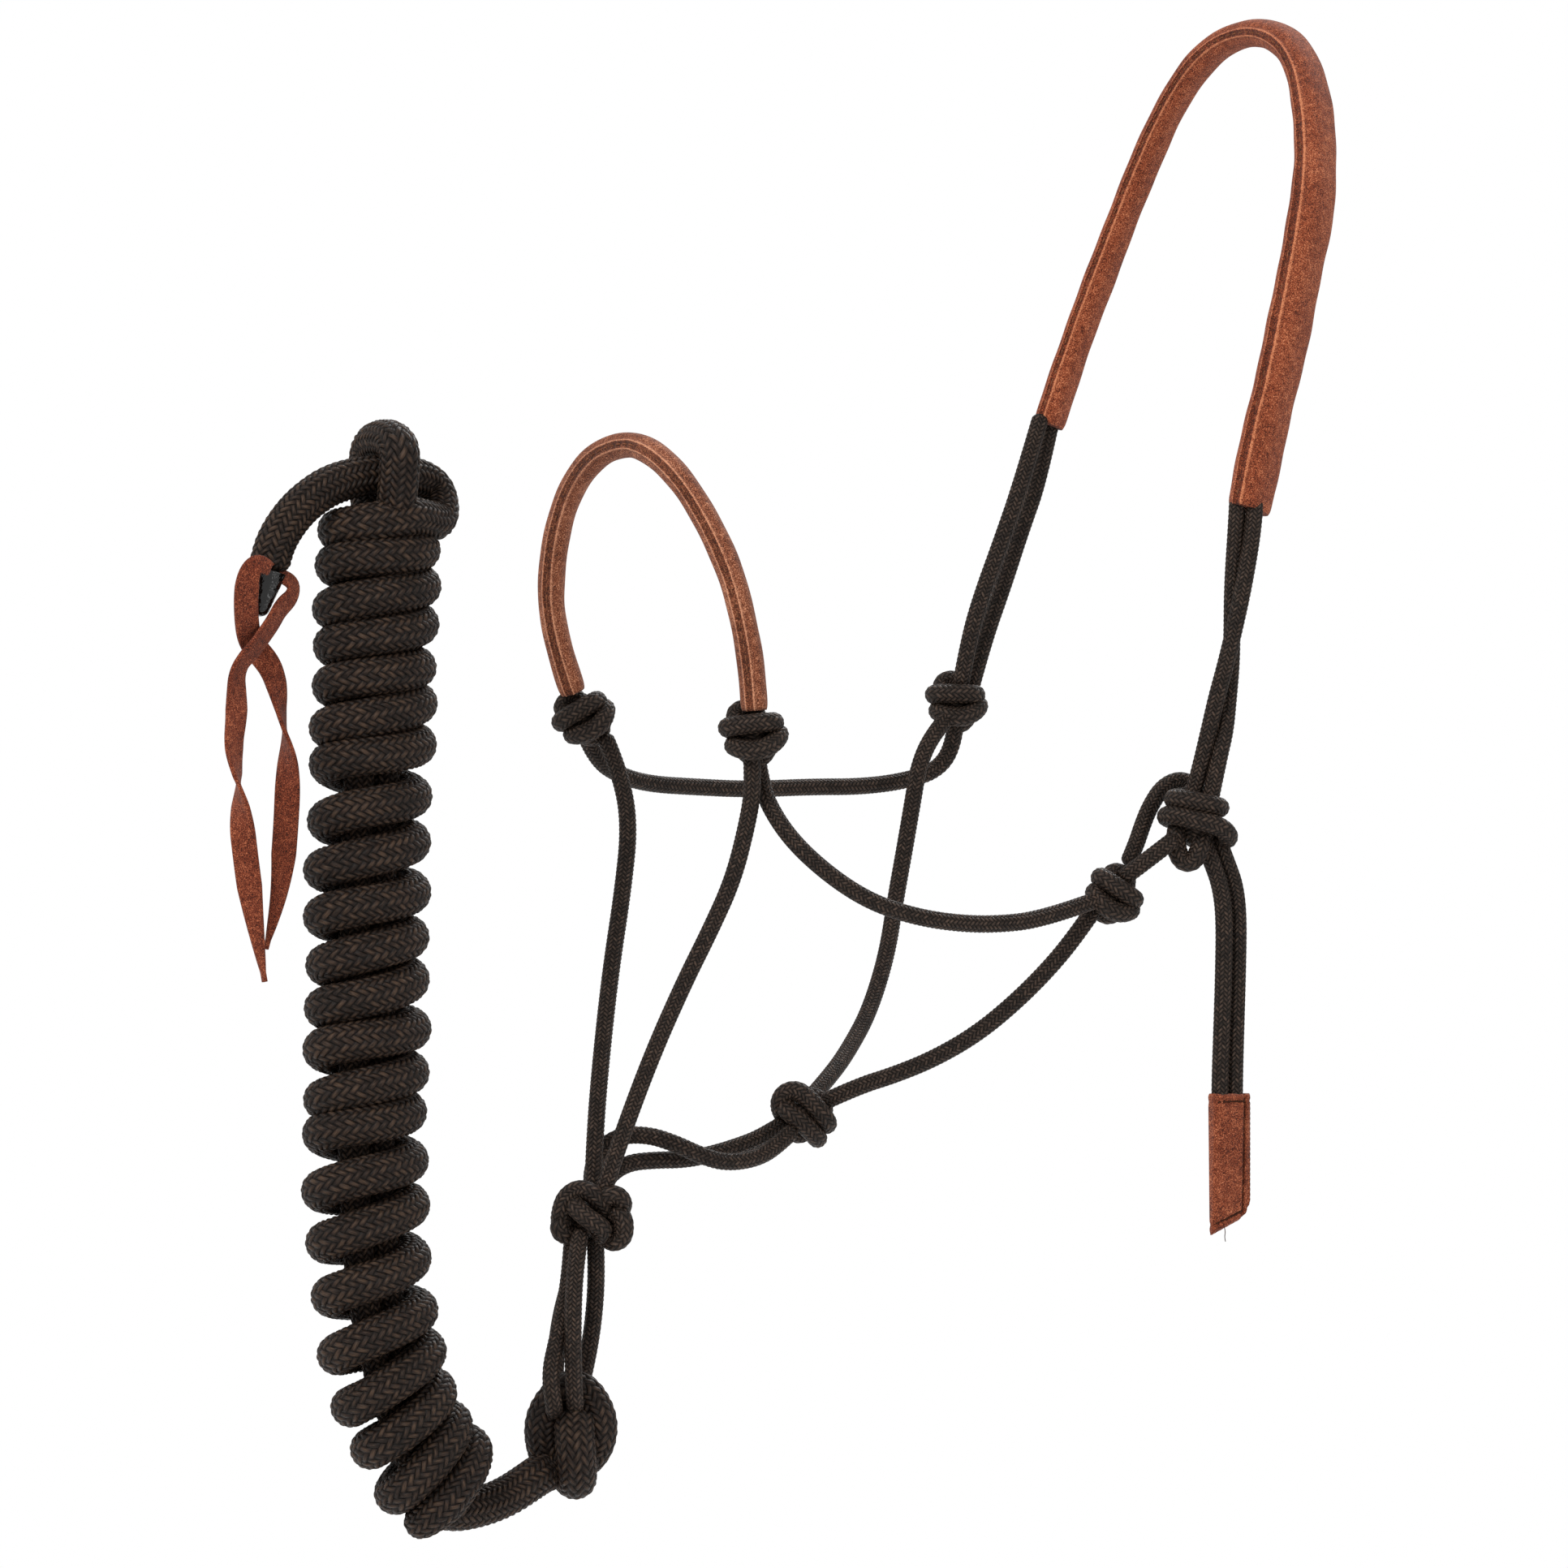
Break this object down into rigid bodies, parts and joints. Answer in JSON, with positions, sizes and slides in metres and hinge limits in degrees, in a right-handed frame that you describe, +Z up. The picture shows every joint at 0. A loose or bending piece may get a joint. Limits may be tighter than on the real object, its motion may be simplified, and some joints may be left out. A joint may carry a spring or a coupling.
{
  "type": "rope halter",
  "caption": "Knotted rope halter with suede-sleeved noseband and crown, tied at the near cheek, and a thick lead rope wound into a hank with a suede strap through its end.",
  "frame": {"origin": "underside of the crown sleeve at its highest point, where the horse's poll sits", "axes": "+Z up; -X towards the horse's nose; -Y towards the horse's near (left) side, where the crown ties; the head's middle plane is XZ"},
  "size_m": [0.4451, 0.186, 0.5417],
  "materials": {
    "halter_rope": "satin braided cord, dark chocolate brown",
    "lead_rope": "satin herringbone-braided rope, dark chocolate brown",
    "suede": "rust-red suede, napped, with pale raw edges",
    "thread": "dark brown waxed sewing thread",
    "whipping": "clear glossy wrap over the melted rope end"
  },
  "bodies": {
    "halter": {"poll_sleeve": "suede", "front_poll_rope": "halter_rope", "back_poll_rope": "halter_rope", "nose_sleeve": "suede", "nose_rope": "halter_rope", "near_nose_knot": "halter_rope", "far_nose_knot": "halter_rope", "near_cheek_knot": "halter_rope", "far_cheek_knot": "halter_rope", "throat_knot": "halter_rope", "fiador_knot": "halter_rope", "tie_knot": "halter_rope", "near_chin_strand": "halter_rope", "far_chin_strand": "halter_rope", "near_cheek_strand": "halter_rope", "far_cheek_strand": "halter_rope", "near_throat_strand": "halter_rope", "far_throat_strand": "halter_rope", "upper_fiador_strand": "halter_rope", "lower_fiador_strand": "halter_rope", "front_far_crown_strand": "halter_rope", "back_far_crown_strand": "halter_rope", "front_near_crown_strand": "halter_rope", "back_near_crown_strand": "halter_rope", "front_eye_strand": "halter_rope", "back_eye_strand": "halter_rope"},
    "lead": {"front_fiador_loop": "halter_rope", "rear_fiador_loop": "halter_rope", "lead_knot": "lead_rope", "lead_link": "lead_rope", "hank": "lead_rope", "hanging_loop": "lead_rope", "lead_tail": "lead_rope", "end_whipping": "whipping", "strap_middle": "suede"},
    "strap": {"front_strap_half": "suede", "back_strap_half": "suede"},
    "crown_tail": {"left_tail_strand": "halter_rope", "right_tail_strand": "halter_rope", "tail_tab": "suede"}
  },
  "joints": [
    {"name": "lead_swing", "type": "hinge", "parent": "halter", "child": "lead", "pos_m": [-0.286, 0, -0.43], "axis": [-0.2826, 0, 0.9592], "range_deg": [-40, 40]},
    {"name": "tail_swing", "type": "hinge", "parent": "halter", "child": "crown_tail", "pos_m": [-0.0708, -0.0874, -0.2955], "axis": [1, 0, 0], "range_deg": [-50, 35]},
    {"name": "strap_swing", "type": "hinge", "parent": "lead", "child": "strap", "pos_m": [-0.42, 0, -0.187], "axis": [1, 0, 0], "range_deg": [-35, 35]}
  ]
}
